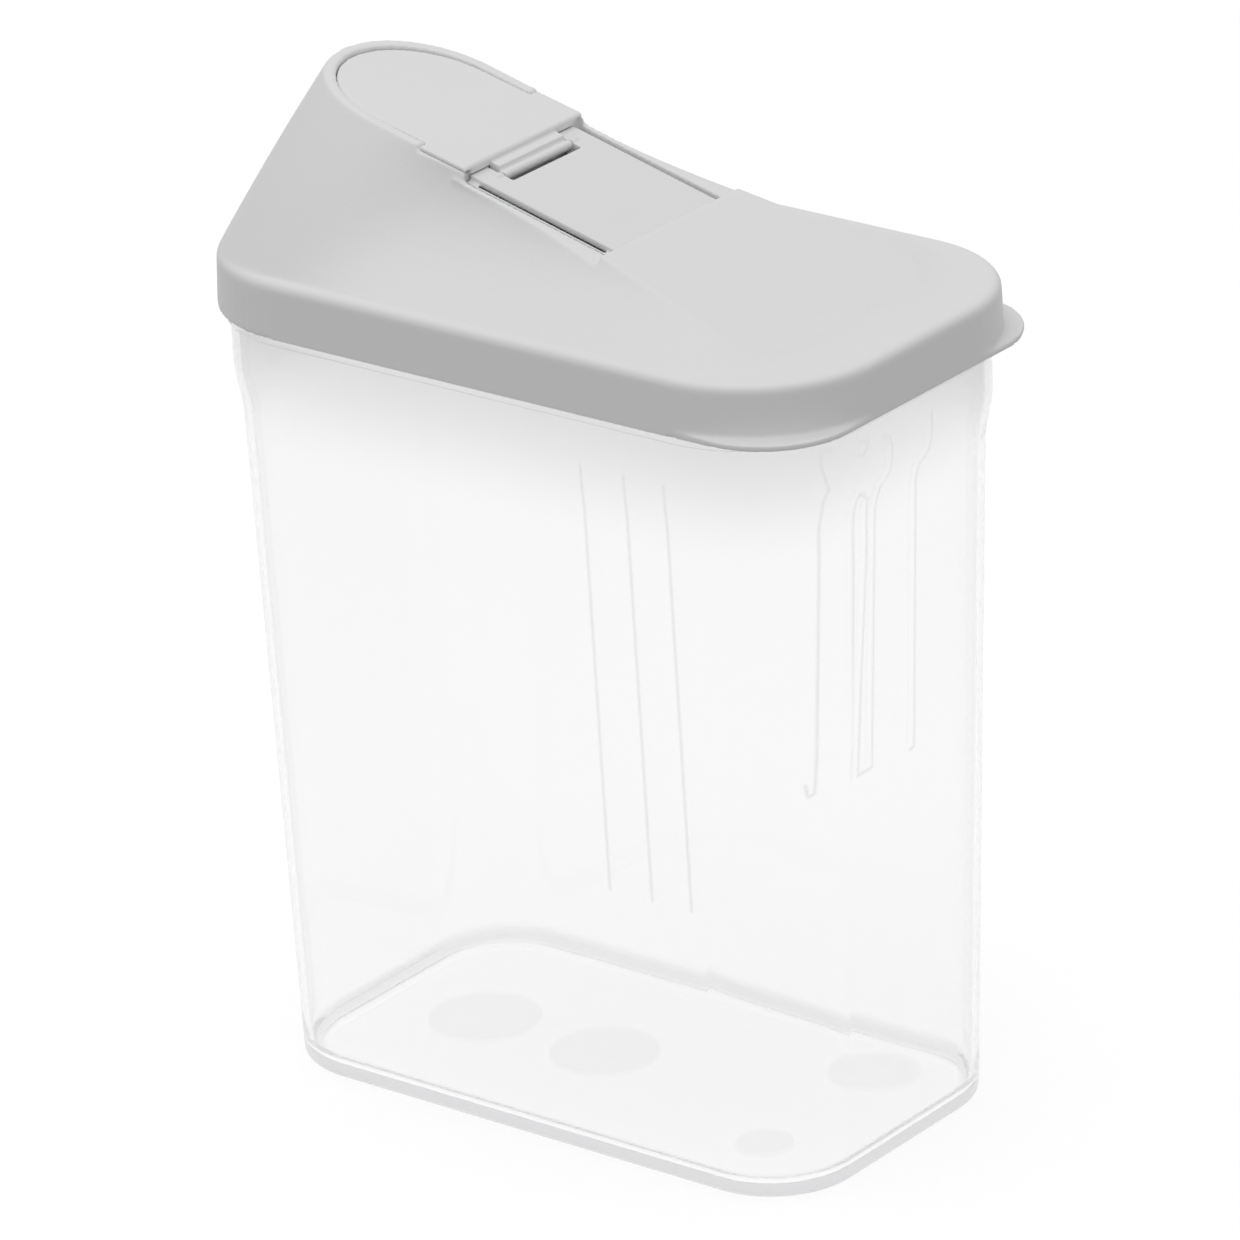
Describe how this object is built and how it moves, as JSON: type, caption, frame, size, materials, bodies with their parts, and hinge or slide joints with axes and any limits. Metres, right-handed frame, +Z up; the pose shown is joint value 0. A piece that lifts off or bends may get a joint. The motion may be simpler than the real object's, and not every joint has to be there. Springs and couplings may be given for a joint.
{
  "type": "cereal container",
  "caption": "Clear tapered dry-food container with a white lift-off lid whose raised pour spout is closed by a hinged flip flap.",
  "frame": {"origin": "centre of the underside of the base, which stands on the table", "axes": "+Z up; -X is the end of the lid that pours, +X the end with the pull tabs; X runs along the length and Y across the width"},
  "size_m": [0.1896, 0.11, 0.2541],
  "materials": {
    "clear_plastic": "clear gloss",
    "white_plastic": "satin, finely sparked",
    "hinge_plate_plastic": "satin",
    "flap_plastic": "satin, finely sparked",
    "pin_steel": "drawn wire"
  },
  "bodies": {
    "container_body": {"container": "clear_plastic"},
    "lid_body": {"lid": "white_plastic", "hinge_plate": "hinge_plate_plastic", "hinge_pin": "pin_steel"},
    "flap_body": {"flap": "flap_plastic"}
  },
  "joints": [
    {"name": "lid_lift", "type": "slide", "parent": "container_body", "child": "lid_body", "axis": [0, 0, 1], "range_m": [0, 0.06]},
    {"name": "flap_hinge", "type": "hinge", "parent": "lid_body", "child": "flap_body", "pos_m": [-0.0199, 0, 0.23597], "axis": [0, 1, 0], "range_deg": [0, 125]}
  ]
}
